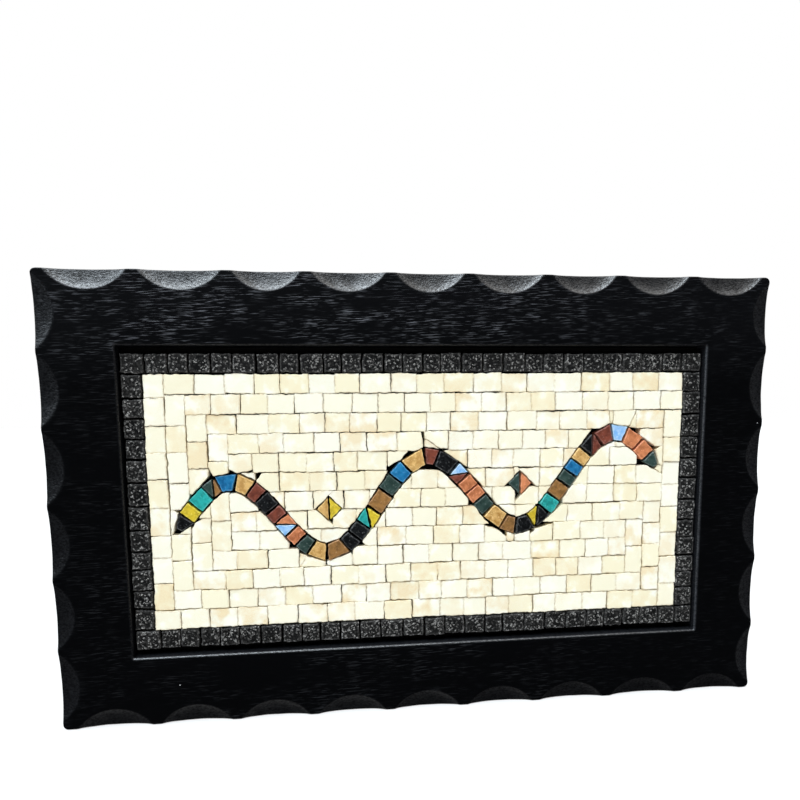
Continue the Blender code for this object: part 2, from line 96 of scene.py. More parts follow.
def aim(direction, up):
    """Rotation that points a camera or lamp along a direction."""
    back = -direction.normalized()
    right = up.cross(back).normalized()
    return Matrix((right, back.cross(right), back)).transposed().to_4x4()


def new_object(name, data):
    """Make an object and put it in the scene."""
    made = bpy.data.objects.new(name, data)
    bpy.context.collection.objects.link(made)
    return made


camera_data = bpy.data.cameras.new("photo camera")
camera_data.sensor_width = 36.0
camera_data.lens = camera_data.sensor_width * FOCAL_LENGTH_IN_PIXELS / IMAGE_SIZE
camera_data.shift_y = (OPTICAL_CENTRE_ROW - IMAGE_SIZE / 2) / IMAGE_SIZE
camera_data.clip_start = 0.01
camera = new_object("photo camera", camera_data)
camera.matrix_world = (Matrix.Translation(CAMERA_FROM_FACE + Vector((0.0, FACE_Y, 0.0)))
                       @ aim(VIEW_DIRECTION, VIEW_UP))
bpy.context.scene.camera = camera
print("lens in mm:", round(camera_data.lens, 1), "shift:", camera_data.shift_y)

# %% [markdown]
# ## Helpers for node trees
# Materials, shader groups and Geometry Nodes are all trees of nodes. Written out in full, each node takes
# several lines, so a few small helpers keep them readable: `add_node` adds one and fills its inputs,
# `new_group` makes a group with named inputs and outputs, and the others are the sums and mixes that come up
# most.

# %% Node helpers
FLOAT = "NodeSocketFloat"


def fill_socket(tree, socket, value):
    """Link a socket to another node's output, or give it a plain value."""
    if isinstance(value, bpy.types.NodeSocket):
        tree.links.new(value, socket)
    else:
        socket.default_value = value


def add_node(tree, kind, inputs=(), **settings):
    """Add a node, set its options, then fill or link its inputs by name or number."""
    node = tree.nodes.new(kind)
    for option, value in settings.items():
        setattr(node, option, value)
    for socket, value in dict(inputs).items():
        fill_socket(tree, node.inputs[socket], value)
    return node


def output(tree, kind, inputs=(), **settings):
    """Add a node and return its first output."""
    return add_node(tree, kind, inputs, **settings).outputs[0]


def new_group(name, kind, inputs, outputs, output_type=FLOAT):
    """Make a node group and return its tree, its inputs and its outputs."""
    tree = bpy.data.node_groups.new(name, kind)
    for label, socket_type, default in inputs:
        socket = tree.interface.new_socket(label, in_out="INPUT", socket_type=socket_type)
        if default is not None:
            socket.default_value = default
    for label in outputs:
        tree.interface.new_socket(label, in_out="OUTPUT", socket_type=output_type)
    return tree, tree.nodes.new("NodeGroupInput").outputs, tree.nodes.new("NodeGroupOutput").inputs


def use_group(tree, group, **inputs):
    """Place a shader group in a material and fill its inputs."""
    node = tree.nodes.new("ShaderNodeGroup")
    node.node_tree = group
    for label, value in inputs.items():
        fill_socket(tree, node.inputs[label], value)
    return node.outputs


def math_node(tree, operation, first, second=0.0):
    return output(tree, "ShaderNodeMath", {0: first, 1: second}, operation=operation)


def product(tree, first, *others):
    """Multiply two or more values."""
    for other in others:
        first = math_node(tree, "MULTIPLY", first, other)
    return first


def vector_math(tree, operation, first, second):
    return output(tree, "ShaderNodeVectorMath", {0: first, 1: second}, operation=operation)


def mix_colour(tree, factor, first, second):
    """Mix two colours, each a socket or plain red, green and blue."""
    ends = [end if isinstance(end, bpy.types.NodeSocket) else (*end, 1.0) for end in (first, second)]
    return add_node(tree, "ShaderNodeMix", {0: factor, 6: ends[0], 7: ends[1]}, data_type="RGBA").outputs[2]


def rescale(tree, value, low, high, to_low, to_high):
    """Stretch the range from low to high onto another, and stop at its ends."""
    return output(tree, "ShaderNodeMapRange", {0: value, 1: low, 2: high, 3: to_low, 4: to_high})


def step_between(tree, value, low, high):
    """Turn a value into a mask that rises from 0 at low to 1 at high."""
    return rescale(tree, value, low, high, 0.0, 1.0)


def read_attribute(tree, name):
    """A number that the mesh carries on its points."""
    return add_node(tree, "ShaderNodeAttribute", attribute_name=name).outputs["Fac"]


def object_point(tree, stretch=(1.0, 1.0, 1.0)):
    """Object coordinates, with each axis scaled."""
    place = add_node(tree, "ShaderNodeTexCoord").outputs["Object"]
    return add_node(tree, "ShaderNodeMapping", {"Vector": place, "Scale": stretch}).outputs["Vector"]


def noise_value(tree, point, scale, detail=2.0, roughness=0.5):
    return add_node(tree, "ShaderNodeTexNoise", {"Vector": point, "Scale": scale, "Detail": detail,
                                                 "Roughness": roughness}).outputs["Fac"]


materials = {}


def start_material(name):
    """Make a material, keep it under its name, and return its tree and its Principled BSDF."""
    materials[name] = bpy.data.materials.new(name)
    materials[name].use_nodes = True
    tree = materials[name].node_tree
    return tree, tree.nodes["Principled BSDF"]


def wire(tree, shader, **sockets):
    """Fill or link the shader's sockets by name."""
    for label, value in sockets.items():
        fill_socket(tree, shader.inputs[label.replace("_", " ")], value)


def bump(tree, height, depth):
    return output(tree, "ShaderNodeBump", {"Height": height, "Distance": depth, "Strength": 1.0})


print("node helpers are ready")


# %% [markdown]
# ## Shared surface effects
# Arrises toned in patches, and a shade for each stone, are wanted on all twelve stone materials, and the wood
# has dust and grain. On the cream marble the arris tone is wear. On the dark and the coloured stones it is
# partly wear and partly a painted highlight. Each such effect is one shader group: it is built once, and each
# material sets it with its own values. The stones carry two numbers on their points: `stone`, a random number
# for each stone, and
# `rim`, which is 1 on the arris and 0 on the flat top.

# %% Group: arris wear, with a painted highlight on the dark and coloured stones
def build_arris_group():
    tree, given, out = new_group("worn arris", "ShaderNodeTree", [("Breakup", FLOAT, 900.0)], ["Mask"])
    # The mask is arris wear. The dark and coloured stones also use it for a painted highlight.
    patches = noise_value(tree, object_point(tree), given["Breakup"], 2.0)
    wear_and_highlight_here = step_between(tree, patches, 0.35, 0.6)
    tree.links.new(product(tree, read_attribute(tree, "rim"), wear_and_highlight_here), out["Mask"])
    return tree


arris_group = build_arris_group()
print(arris_group.name, "group:", len(arris_group.nodes), "nodes")


# %% Group: a random shade for each stone
def build_shade_group():
    tree, given, out = new_group(
        "stone shade", "ShaderNodeTree", [("Cloud", FLOAT, 120.0), ("Grain", FLOAT, 1500.0)],
        ["First", "Second", "Cloud", "Grain"])
    stone = read_attribute(tree, "stone")
    shades = add_node(tree, "ShaderNodeTexWhiteNoise", {"W": stone}, noise_dimensions="1D").outputs["Color"]
    split = add_node(tree, "ShaderNodeSeparateColor", {0: shades}).outputs
    place = object_point(tree)
    tree.links.new(split[0], out["First"])
    tree.links.new(split[1], out["Second"])
    tree.links.new(noise_value(tree, place, given["Cloud"], 3.0), out["Cloud"])
    tree.links.new(noise_value(tree, place, given["Grain"], 2.0, 0.6), out["Grain"])
    return tree


shade_group = build_shade_group()
print(shade_group.name, "group:", len(shade_group.nodes), "nodes")


# %% Group: a few specks of pale dust
def build_dust_group():
    tree, given, out = new_group(
        "dust specks", "ShaderNodeTree", [("Spacing", FLOAT, 60.0), ("Size", FLOAT, 0.03)], ["Mask"])
    cells = add_node(tree, "ShaderNodeTexVoronoi", {"Vector": object_point(tree), "Scale": given["Spacing"]})
    chosen = output(tree, "ShaderNodeSeparateColor", {0: cells.outputs["Color"]})
    near = math_node(tree, "LESS_THAN", cells.outputs["Distance"], given["Size"])
    rare = math_node(tree, "GREATER_THAN", chosen, 0.8)
    tree.links.new(product(tree, near, rare), out["Mask"])
    return tree


dust_group = build_dust_group()
print(dust_group.name, "group:", len(dust_group.nodes), "nodes")

# %% [markdown]
# ## Stained wood
# The plank is stained almost black and waxed, so its flat face hardly shines. Its open pores are short pale
# dashes that run level across the whole board, since it is one piece. A wave texture would give lines of even
# length, so noise that is stretched along X is used, and a slow wave makes the rows drift up and down a
# little. The top rim is painted lighter as a painted sheen. Its pores are painted paler and show more often
# there, mostly near its middle, as a painted highlight where light from above would catch them.
#
# Three numbers on the board's points say where it is worn and where light and shade are painted. The first
# brings in a glossy film, broken by small pits, where the gouge pressed the wood. It is turned down towards
# the deep edge of each scoop and on the left and the lower rim, which is painted shade. The second paints a
# grey highlight on the recess's right and lower arrises. The third lets the brown wood through: a little on
# the back, fully inside the keyhole.

# %% Group: dashes of open grain
def build_grain_group():
    tree, given, out = new_group(
        "open grain", "ShaderNodeTree",
        [("Dash", FLOAT, 0.065), ("Fineness", FLOAT, 1900.0),
         ("Drift", FLOAT, 0.0014), ("Slope", FLOAT, 0.035)],
        ["Pores", "Fibres"])
    place = object_point(tree)
    sway = noise_value(tree, place, 32.0, 1.0)
    sway = product(tree, math_node(tree, "SUBTRACT", sway, 0.5), given["Drift"])
    across = output(tree, "ShaderNodeSeparateXYZ", {0: place})
    sway = math_node(tree, "SUBTRACT", sway, product(tree, across, given["Slope"]))
    lift = output(tree, "ShaderNodeCombineXYZ", {2: sway})
    stretch = output(tree, "ShaderNodeCombineXYZ", {0: given["Dash"], 1: 1.0, 2: 1.0})
    run = vector_math(tree, "MULTIPLY", vector_math(tree, "ADD", place, lift), stretch)
    dashes = noise_value(tree, run, given["Fineness"], 2.0, 0.6)
    fibres = noise_value(tree, run, product(tree, given["Fineness"], 2.3), 1.0)
    tree.links.new(step_between(tree, dashes, 0.545, 0.66), out["Pores"])
    tree.links.new(fibres, out["Fibres"])
    return tree


grain_group = build_grain_group()
print(grain_group.name, "group:", len(grain_group.nodes), "nodes")


# %% Stained wood
# The lighter of these two colours is a painted sheen that makes the top rim lighter.
STAIN_LOW, PAINTED_TOP_SHEEN = (0.0007, 0.0008, 0.0011), (0.0024, 0.0026, 0.0032)
# The middle colour of these is a grey painted highlight for the recess's right and lower arrises.
PALE_PORE, PAINTED_HIGHLIGHT_GREY, PALE_DUST = (0.125, 0.130, 0.145), (0.040, 0.043, 0.050), (0.45, 0.45, 0.45)
PITTED_CUT, SOUND_CUT = (0.001, 0.001, 0.0015), (0.0060, 0.0066, 0.0085)
DARK_FIBRE, LIGHT_FIBRE = (0.10, 0.058, 0.030), (0.22, 0.14, 0.08)
# The pores' painted highlight is strongest near this X, and the top rim's painted sheen and highlight rise
# between these two heights.
PALEST_PORES_X, TOP_RIM_FROM, TOP_RIM_FULL = -0.045, 0.055, 0.085


def pores_and_painted_highlight_mask(tree, rows, upper, across):
    """Where the pores show pale: in rows and patches, and as a painted highlight mostly in the middle of the
    top rim.
    """
    aside = math_node(tree, "ABSOLUTE", math_node(tree, "SUBTRACT", across, PALEST_PORES_X))
    central = rescale(tree, aside, 0.05, 0.14, 1.0, 0.3)
    patches = noise_value(tree, object_point(tree, (0.6, 1.0, 1.0)), 26.0, 2.0)
    in_rows, in_patches = step_between(tree, rows, 0.34, 0.56), step_between(tree, patches, 0.30, 0.60)
    return product(tree, in_rows, in_patches, upper, central)


def make_stained_wood():
    tree, shader = start_material("stained_wood")
    grain = use_group(tree, grain_group)
    burnish_and_painted_shade, painted_arris_highlight, bare = (read_attribute(tree, name) for name in ("burnish_and_painted_shade", "painted_arris_highlight", "bare"))
    across, _, height = add_node(tree, "ShaderNodeSeparateXYZ", {0: object_point(tree)}).outputs
    # Painted sheen and highlight: the top rim is made lighter, and its pores paler, where light from above
    # would fall.
    upper = rescale(tree, height, TOP_RIM_FROM, TOP_RIM_FULL, 0.18, 1.0)
    rows = noise_value(tree, object_point(tree, (0.2, 1.0, 1.0)), 170.0, 2.0)
    streak = product(tree, grain["Pores"], pores_and_painted_highlight_mask(tree, rows, upper, across))
    stain_with_painted_sheen = mix_colour(tree, streak, mix_colour(tree, upper, STAIN_LOW, PAINTED_TOP_SHEEN), PALE_PORE)
    pits = noise_value(tree, object_point(tree, (0.6, 1.0, 1.0)), 1250.0, 3.0, 0.65)
    sound = step_between(tree, pits, 0.36, 0.60)
    carved = mix_colour(tree, burnish_and_painted_shade, stain_with_painted_sheen, mix_colour(tree, sound, PITTED_CUT, SOUND_CUT))
    # A grey painted highlight on the recess's right and lower arrises, where light from the upper left would
    # catch them.
    painted_highlight_share = product(tree, painted_arris_highlight, rescale(tree, sound, 0.0, 1.0, 0.3, 1.0))
    wear_and_painted_highlight = mix_colour(tree, painted_highlight_share, carved, PAINTED_HIGHLIGHT_GREY)
    dusty = mix_colour(tree, use_group(tree, dust_group, Spacing=75.0, Size=0.022)["Mask"], wear_and_painted_highlight, PALE_DUST)
    wood = mix_colour(tree, grain["Fibres"], DARK_FIBRE, LIGHT_FIBRE)
    finished = mix_colour(tree, product(tree, bare, rescale(tree, rows, 0.3, 0.7, 0.5, 1.5)), dusty, wood)
    wire(tree, shader, Base_Color=finished, Roughness=rescale(tree, grain["Fibres"], 0.3, 0.7, 0.40, 0.56),
         Specular_IOR_Level=0.05, Normal=bump(tree, streak, 0.0001),
         Coat_Weight=product(tree, burnish_and_painted_shade, rescale(tree, sound, 0.0, 1.0, 0.4, 1.0)),
         Coat_Roughness=0.28, Coat_IOR=1.95, Coat_Normal=bump(tree, pits, 0.0003))
    print("stained_wood:", len(tree.nodes), "nodes")


make_stained_wood()

# %% [markdown]
# ## Stones
# The dark border stone is sawn and granular: a black ground full of grey and near-white grains, quite rough.
# A Voronoi texture gives it, because each of its cells has one random colour, as each grain of the stone has.
# The cream field is split marble, in shades from ivory to a warm sand, one shade for each stone, and soft
# noise clouds it. The coloured pieces are smooth stone or glaze, each a little mottled and flecked. Their
# pale arrises are partly the cut showing and partly a painted highlight. The dark stone's grey arrises are
# also partly wear and partly a painted highlight.

# %% Dark granular stone
BLACK_GROUND, BROWN_BLACK_GROUND = (0.002, 0.002, 0.002), (0.008, 0.0077, 0.0073)
GREY_GRAIN, BRIGHT_GRAIN, GREY_ARRIS = (0.040, 0.038, 0.036), (0.36, 0.35, 0.335), (0.16, 0.155, 0.15)


def make_dark_stone():
    tree, shader = start_material("dark_stone")
    shade = use_group(tree, shade_group, Cloud=260.0, Grain=2200.0)
    grains = add_node(tree, "ShaderNodeTexVoronoi", {"Vector": object_point(tree), "Scale": 1350.0})
    pick = output(tree, "ShaderNodeSeparateColor", {0: grains.outputs["Color"]})
    ground = mix_colour(tree, shade["First"], BLACK_GROUND, BROWN_BLACK_GROUND)
    grey = mix_colour(tree, step_between(tree, pick, 0.40, 1.0), ground, GREY_GRAIN)
    clustered = step_between(tree, shade["Grain"], 0.42, 0.56)
    bright = product(tree, step_between(tree, pick, 0.76, 0.95), clustered)
    # The grey on the arrises is partly wear and partly a painted highlight.
    wear_and_painted_highlight = use_group(tree, arris_group, Breakup=1200.0)["Mask"]
    grained = mix_colour(tree, bright, grey, BRIGHT_GRAIN)
    finished = mix_colour(tree, product(tree, wear_and_painted_highlight, 0.3), grained, GREY_ARRIS)
    relief = math_node(tree, "ADD", pick, shade["Grain"])
    wire(tree, shader, Base_Color=finished, Roughness=0.72, Specular_IOR_Level=0.15,
         Normal=bump(tree, relief, 0.00022))
    print("dark_stone:", len(tree.nodes), "nodes")


make_dark_stone()


# %% Cream marble
IVORY, CREAM, SAND = (0.90, 0.87, 0.73), (0.88, 0.81, 0.58), (0.82, 0.66, 0.40)
WHITE_CLOUD, BROWN_ARRIS = (0.92, 0.90, 0.79), (0.58, 0.42, 0.26)


def make_cream_marble():
    tree, shader = start_material("cream_marble")
    shade = use_group(tree, shade_group, Cloud=150.0, Grain=1300.0)
    pale = mix_colour(tree, step_between(tree, shade["First"], 0.15, 0.9), IVORY, CREAM)
    some_stones = step_between(tree, shade["Second"], 0.45, 1.0)
    in_clouds = step_between(tree, shade["Cloud"], 0.42, 0.62)
    warm = mix_colour(tree, product(tree, some_stones, in_clouds), pale, SAND)
    light = mix_colour(tree, step_between(tree, shade["Cloud"], 0.46, 0.30), warm, WHITE_CLOUD)
    wear_and_painted_highlight = use_group(tree, arris_group, Breakup=700.0)["Mask"]
    finished = mix_colour(tree, product(tree, wear_and_painted_highlight, 0.4), light, BROWN_ARRIS)
    relief = math_node(tree, "ADD", shade["Cloud"], product(tree, shade["Grain"], 0.35))
    wire(tree, shader, Base_Color=finished, Roughness=0.5, Specular_IOR_Level=0.3,
         Normal=bump(tree, relief, 0.00014))
    print("cream_marble:", len(tree.nodes), "nodes")


make_cream_marble()

# %% Coloured pieces
# Each row: the deep and the light shade that the mottling runs between, and the roughness.
COLOURED = {
    "black_tile": ((0.0025, 0.0026, 0.0028), (0.009, 0.010, 0.011), 0.26),
    "green_tile": ((0.014, 0.032, 0.027), (0.040, 0.072, 0.062), 0.26),
    "turquoise_tile": ((0.010, 0.20, 0.18), (0.02, 0.42, 0.39), 0.26),
    "blue_tile": ((0.004, 0.085, 0.22), (0.015, 0.20, 0.42), 0.26),
    "light_blue_tile": ((0.10, 0.35, 0.72), (0.42, 0.60, 0.84), 0.3),
    "terracotta_tile": ((0.34, 0.10, 0.035), (0.66, 0.24, 0.10), 0.42),
    "red_brown_tile": ((0.085, 0.020, 0.012), (0.23, 0.055, 0.030), 0.4),
    "brown_tile": ((0.14, 0.065, 0.018), (0.34, 0.165, 0.045), 0.42),
    "ochre_tile": ((0.38, 0.18, 0.035), (0.74, 0.47, 0.17), 0.42),
    "yellow_tile": ((0.40, 0.28, 0.012), (0.74, 0.55, 0.030), 0.36),
}


def make_coloured(name):
    deep, light, gloss = COLOURED[name]
    tree, shader = start_material(name)
    shade = use_group(tree, shade_group, Cloud=420.0, Grain=950.0)
    mottling = step_between(tree, shade["Cloud"], 0.38, 0.60)
    depth = math_node(tree, "ADD", product(tree, shade["First"], 0.4), product(tree, mottling, 0.6))
    pale = tuple(min(0.9, 0.10 + 1.2 * value) for value in light)
    fleck = product(tree, step_between(tree, shade["Grain"], 0.60, 0.70), 0.5)
    flecked = mix_colour(tree, fleck, mix_colour(tree, depth, deep, light), pale)
    # The pale arrises are partly the cut showing and partly a painted highlight.
    wear_and_painted_highlight = use_group(tree, arris_group, Breakup=800.0)["Mask"]
    finished = mix_colour(tree, product(tree, wear_and_painted_highlight, 0.75), flecked, pale)
    relief = math_node(tree, "ADD", shade["Cloud"], product(tree, shade["Grain"], 0.4))
    wire(tree, shader, Base_Color=finished, Roughness=gloss, Specular_IOR_Level=0.25,
         Normal=bump(tree, relief, 0.00024))


for name in COLOURED:
    make_coloured(name)
print("coloured materials:", len(COLOURED))


# %% Adhesive
adhesive_tree, adhesive_shader = start_material("adhesive")
lumps = noise_value(adhesive_tree, object_point(adhesive_tree), 500.0, 3.0)
tone = mix_colour(adhesive_tree, lumps, (0.001, 0.001, 0.001), (0.005, 0.0045, 0.004))
wire(adhesive_tree, adhesive_shader, Base_Color=tone, Roughness=0.9, Specular_IOR_Level=0.1,
     Normal=bump(adhesive_tree, lumps, 0.0004))
print("materials:", len(materials))


# %% [markdown]
# ## Cutting the stones
# Every stone is a small block that someone nipped to shape: its sides wander a little, its arrises are
# chipped and its top isn't quite level. The solids give the flat outline of each one. Geometry Nodes then do
# the same to all of them: walk round the outline in short steps, push each step in or out, raise the walls,
# take the arris off, and leave a slightly uneven top. One tree serves the field, the border and each coloured
# piece.

# %% Inputs of the tree that cuts stones
# The label, type and default value of each input. Lengths are in metres, Turn is in radians.
STONE_INPUTS = [
    ("Geometry", "NodeSocketGeometry", None),
    ("Step", FLOAT, 0.0008),
    ("Turn", FLOAT, 0.02),
    ("Shift", FLOAT, 0.0001),
    ("Swell", FLOAT, 0.0002),
    ("Wander", FLOAT, 0.0002),
    ("Height", FLOAT, 0.005),
    ("Height Spread", FLOAT, 0.0002),
    ("Arris", FLOAT, 0.0002),
    ("Chipping", FLOAT, 0.0002),
    ("Top Unevenness", FLOAT, 0.0002),
    ("Back", FLOAT, 0.0),
    ("Seed", "NodeSocketInt", 0),
    ("Material", "NodeSocketMaterial", None),
]


print("inputs of the stone tree:", len(STONE_INPUTS))


# %% Node helpers for geometry
def signed_noise(tree, point, scale, phase, amount):
    """A noise vector between minus and plus half of an amount."""
    settings = {"Vector": point, "W": phase, "Scale": scale, "Detail": 2.0}
    colour = add_node(tree, "ShaderNodeTexNoise", settings, noise_dimensions="4D").outputs["Color"]
    centred = vector_math(tree, "SUBTRACT", colour, (0.5, 0.5, 0.5))
    return output(tree, "ShaderNodeVectorMath", {0: centred, "Scale": amount}, operation="SCALE")


def random_between(tree, limit, island, seed):
    """A random number for each stone, between minus and plus a limit."""
    lowest = product(tree, limit, -1.0)
    return add_node(tree, "FunctionNodeRandomValue", {2: lowest, 3: limit, "ID": island, "Seed": seed},
                    data_type="FLOAT").outputs[1]


def face_width(tree):
    """The side of a square that is as large as the face."""
    return math_node(tree, "SQRT", output(tree, "GeometryNodeInputMeshFaceArea"))


def store(tree, geometry, name, value, selection=True):
    """Write a number on the chosen points."""
    return output(tree, "GeometryNodeStoreNamedAttribute",
                  {"Geometry": geometry, "Name": name, "Value": value, "Selection": selection},
                  data_type="FLOAT", domain="POINT")


def shift_points(tree, geometry, offset, selection=True):
    return output(tree, "GeometryNodeSetPosition",
                  {"Geometry": geometry, "Selection": selection, "Offset": offset})


def scale_faces(tree, geometry, scale, selection=True):
    return output(tree, "GeometryNodeScaleElements",
                  {"Geometry": geometry, "Selection": selection, "Scale": scale}, domain="FACE")


def raise_faces(tree, mesh, rise, selection=True):
    """Lift each chosen face on walls of its own; return the mesh and its new tops."""
    settings = {"Mesh": mesh, "Selection": selection, "Offset Scale": rise, "Individual": True}
    node = add_node(tree, "GeometryNodeExtrudeMesh", settings, mode="FACES")
    return node.outputs["Mesh"], node.outputs["Top"]


def inset_top(tree, mesh, selection, rise, inset):
    """Raise the chosen faces and draw each one in by a distance; return the mesh and its new tops."""
    raised, top = raise_faces(tree, mesh, rise, selection)
    cut = math_node(tree, "DIVIDE", product(tree, inset, 2.0), face_width(tree))
    return scale_faces(tree, raised, math_node(tree, "SUBTRACT", 1.0, cut), top), top


print("geometry helpers are ready")

# %% The tree that cuts stones
SIDE_WAVES, CHIP_WAVES, TOP_WAVES = 420.0, 1300.0, 90.0
PHASE_PER_SEED, PHASE_PER_STONE = 7.31, 50.0
ACROSS_SEED, UPWARD_SEED = 101.0, 202.0
INNER_INSET, INNER_RISE, WELD_DISTANCE = 1.6, 0.00001, 0.000002


def nip_outlines(tree, given, place, phase):
    """Walk round each outline in short steps, push every step in or out, and fill the outline again."""
    rims = output(tree, "GeometryNodeMeshToCurve", {"Mesh": given["Geometry"]})
    walked = output(tree, "GeometryNodeResampleCurve", {"Curve": rims, "Length": given["Step"]},
                    mode="LENGTH")
    shove = signed_noise(tree, place, SIDE_WAVES, phase, given["Wander"])
    rough = shift_points(tree, walked, vector_math(tree, "MULTIPLY", shove, (1.0, 1.0, 0.0)))
    return output(tree, "GeometryNodeFillCurve", {"Curve": rough}, mode="NGONS")


def lay_by_hand(tree, given, place, flat):
    """Turn, slide and swell each stone by its own small amount, and store its random number."""
    seed = given["Seed"]
    island = add_node(tree, "GeometryNodeInputMeshIsland").outputs["Island Index"]
    middle = output(tree, "GeometryNodeFieldOnDomain", {"Value": place}, data_type="FLOAT_VECTOR",
                    domain="FACE")
    angle = random_between(tree, given["Turn"], island, seed)
    across, upward = (random_between(tree, given["Shift"], island, math_node(tree, "ADD", seed, more))
                      for more in (ACROSS_SEED, UPWARD_SEED))
    slide = output(tree, "ShaderNodeCombineXYZ", {0: across, 1: upward})
    turned = output(tree, "ShaderNodeVectorRotate", {"Vector": place, "Center": middle, "Angle": angle},
                    rotation_type="Z_AXIS")
    moved = vector_math(tree, "ADD", turned, slide)
    flat = output(tree, "GeometryNodeSetPosition", {"Geometry": flat, "Position": moved})
    growth = math_node(tree, "DIVIDE", given["Swell"], face_width(tree))
    flat = scale_faces(tree, flat, math_node(tree, "ADD", 1.0, growth))
    pick = add_node(tree, "FunctionNodeRandomValue", {"ID": island, "Seed": seed}, data_type="FLOAT")
    return store(tree, store(tree, flat, "stone", pick.outputs[1]), "rim", 1.0)


def raise_stones(tree, given, place, phase, flat):
    """Raise the walls, take the arris off, and leave a slightly uneven top."""
    stone = output(tree, "GeometryNodeInputNamedAttribute", {"Name": "stone"}, data_type="FLOAT")
    lift = product(tree, math_node(tree, "SUBTRACT", stone, 0.5), given["Height Spread"])
    rise = math_node(tree, "SUBTRACT", math_node(tree, "ADD", given["Height"], lift), given["Arris"])
    walls, top = raise_faces(tree, flat, rise)
    eased, top = inset_top(tree, store(tree, walls, "rim", 1.0), top, given["Arris"], given["Arris"])
    eased = shift_points(tree, eased, signed_noise(tree, place, CHIP_WAVES, phase, given["Chipping"]), top)
    topped, inner = inset_top(tree, eased, top, INNER_RISE, product(tree, given["Arris"], INNER_INSET))
    topped = store(tree, topped, "rim", 0.0, inner)
    own_phase = product(tree, stone, PHASE_PER_STONE)
    tilt = signed_noise(tree, place, TOP_WAVES, own_phase, given["Top Unevenness"])
    height = add_node(tree, "ShaderNodeSeparateXYZ", {0: place}).outputs[2]
    upper = math_node(tree, "GREATER_THAN", height, product(tree, given["Height"], 0.5))
    return shift_points(tree, topped, vector_math(tree, "MULTIPLY", tilt, (0.0, 0.0, 1.0)), upper)


def build_stone_tree():
    """Nip, lay and raise the stones, close them underneath and stand them upright in the recess."""
    tree, given, out = new_group("cut stones", "GeometryNodeTree", STONE_INPUTS,
                                 ["Geometry"], "NodeSocketGeometry")
    phase = product(tree, given["Seed"], PHASE_PER_SEED)
    place = output(tree, "GeometryNodeInputPosition")
    flat = lay_by_hand(tree, given, place, nip_outlines(tree, given, place, phase))
    raised = raise_stones(tree, given, place, phase, flat)
    under = output(tree, "GeometryNodeFlipFaces", {"Mesh": flat})
    both = add_node(tree, "GeometryNodeJoinGeometry")
    for geometry in (raised, under):
        tree.links.new(geometry, both.inputs[0])
    closed = output(tree, "GeometryNodeMergeByDistance",
                    {"Geometry": both.outputs[0], "Distance": WELD_DISTANCE})
    back = output(tree, "ShaderNodeCombineXYZ", {1: given["Back"]})
    stood = output(tree, "GeometryNodeTransform", {
        "Geometry": closed, "Rotation": (math.pi / 2, 0.0, 0.0), "Translation": back})
    real = output(tree, "GeometryNodeRealizeInstances", {"Geometry": stood})
    painted = add_node(tree, "GeometryNodeSetMaterial", {"Geometry": real, "Material": given["Material"]})
    tree.links.new(painted.outputs[0], out["Geometry"])
    return tree


stone_tree = build_stone_tree()
print("stone tree:", len(stone_tree.nodes), "nodes")

# %% [markdown]
# ## From a solid to its stones
# A solid arrives as loose triangles. Welding a copy and dissolving its flat edges gives back each stone's top
# as one face. Those faces are laid flat, with X and Z as X and Y, and are the tree's input. A modifier knows
# an input only by its socket's identifier, so `set_input` looks that up from the label. `plain_copy` then
# turns the modifier's result into an ordinary mesh and removes the modifier.

# %% Stone outlines, and finished stones from them
STONE_BAND = 0.0008
TOP_BELOW_BOX = 0.0002
SMALLEST_TOP = 1e-7
SAME_POINT, SAME_PLANE_ANGLE = 1e-6, math.radians(1.0)
STONE_SHARP_ANGLE = math.radians(32)


def weld_copy(node_name):
    """A welded bmesh copy of a solid, with its flat faces whole."""
    solid = bmesh.new()
    solid.from_mesh(nodes[node_name].data)
    bmesh.ops.remove_doubles(solid, verts=solid.verts, dist=SAME_POINT)
    bmesh.ops.dissolve_limit(solid, angle_limit=SAME_PLANE_ANGLE, verts=solid.verts, edges=solid.edges)
    return solid


def finished_mesh(bm, name):
    """Turn a bmesh into a mesh and free it."""
    mesh = bpy.data.meshes.new(name)
    bm.to_mesh(mesh)
    bm.free()
    return mesh


def lay_flat(node_name):
    """Mesh of the node's stone tops, with X and Z laid out as X and Y."""
    solid = weld_copy(node_name)
    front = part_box(node_name)[0].y + STONE_BAND
    tops = [face for face in solid.faces if face.normal.y < -0.99 and face.calc_center_median().y < front]
    flat = bmesh.new()
    for face in tops:
        corners = [flat.verts.new((vert.co.x, vert.co.z, 0.0)) for vert in face.verts]
        if flat.faces.new(corners).calc_area() < SMALLEST_TOP:
            raise ValueError(f"{node_name} has a stone with no area")
    solid.free()
    return finished_mesh(flat, node_name + " outlines")


def set_input(modifier, label, value):
    """Set a Geometry Nodes input by its label."""
    items = modifier.node_group.interface.items_tree
    sockets = {item.name: item for item in items if item.item_type == "SOCKET" and item.in_out == "INPUT"}
    modifier[sockets[label].identifier] = value


def plain_copy(obj):
    """Put the evaluated mesh in the object's place and drop its modifiers."""
    graph = bpy.context.evaluated_depsgraph_get()
    result = bpy.data.meshes.new_from_object(obj.evaluated_get(graph))
    obj.modifiers.clear()
    obj.data = result


def cut_stones(node_name, piece_name, seed, **settings):
    """Make the finished stones that stand for one solid."""
    piece = new_object(piece_name, lay_flat(node_name))
    modifier = piece.modifiers.new("cut stones", "NODES")
    modifier.node_group = stone_tree
    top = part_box(node_name)[0].y + TOP_BELOW_BOX
    set_input(modifier, "Back", STONE_BACK_Y)
    set_input(modifier, "Height", STONE_BACK_Y - top)
    set_input(modifier, "Seed", seed)
    set_input(modifier, "Material", materials[slot_of[node_name]])
    for label, value in settings.items():
        set_input(modifier, label.replace("_", " "), value)
    plain_copy(piece)
    piece.data.shade_smooth()
    piece.data.set_sharp_from_angle(angle=STONE_SHARP_ANGLE)
    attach(piece, "root")
    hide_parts(node_name)
    return piece


